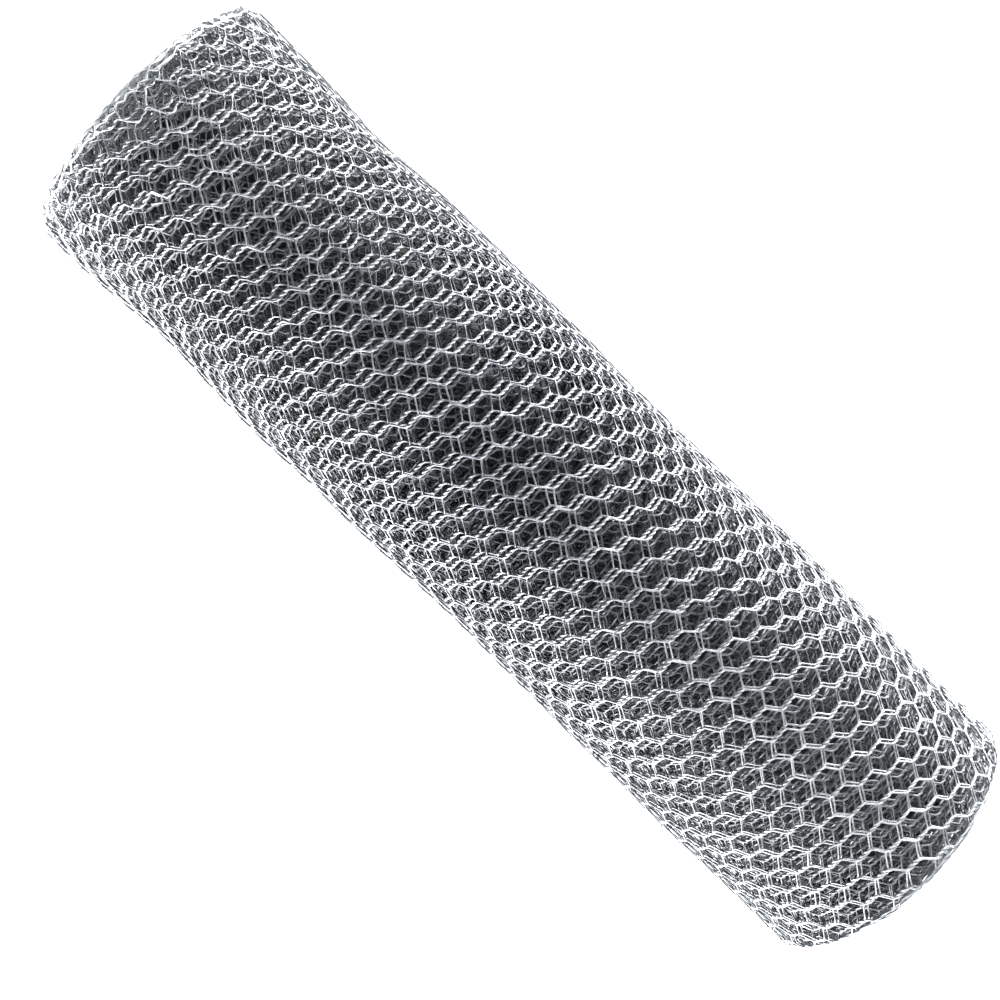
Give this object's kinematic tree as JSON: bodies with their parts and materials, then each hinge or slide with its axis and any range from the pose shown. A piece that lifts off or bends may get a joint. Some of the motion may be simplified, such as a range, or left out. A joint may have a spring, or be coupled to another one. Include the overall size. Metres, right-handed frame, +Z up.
{
  "type": "roll of hexagonal wire netting",
  "caption": "Cylindrical roll of galvanised hexagonal wire netting with an open middle, lying on its side, for light fencing, cages and plant guards.",
  "frame": {"origin": "on the floor under the middle of the roll, where it lies on its side", "axes": "+X along the roll's axis, which is the netting's width, and +Z up"},
  "size_m": [0.5, 0.1458, 0.146],
  "materials": {
    "galvanised_wire": "zinc dipped, dull silver with a slight sheen"
  },
  "bodies": {
    "root": {"netting_roll": "galvanised_wire"}
  },
  "joints": []
}
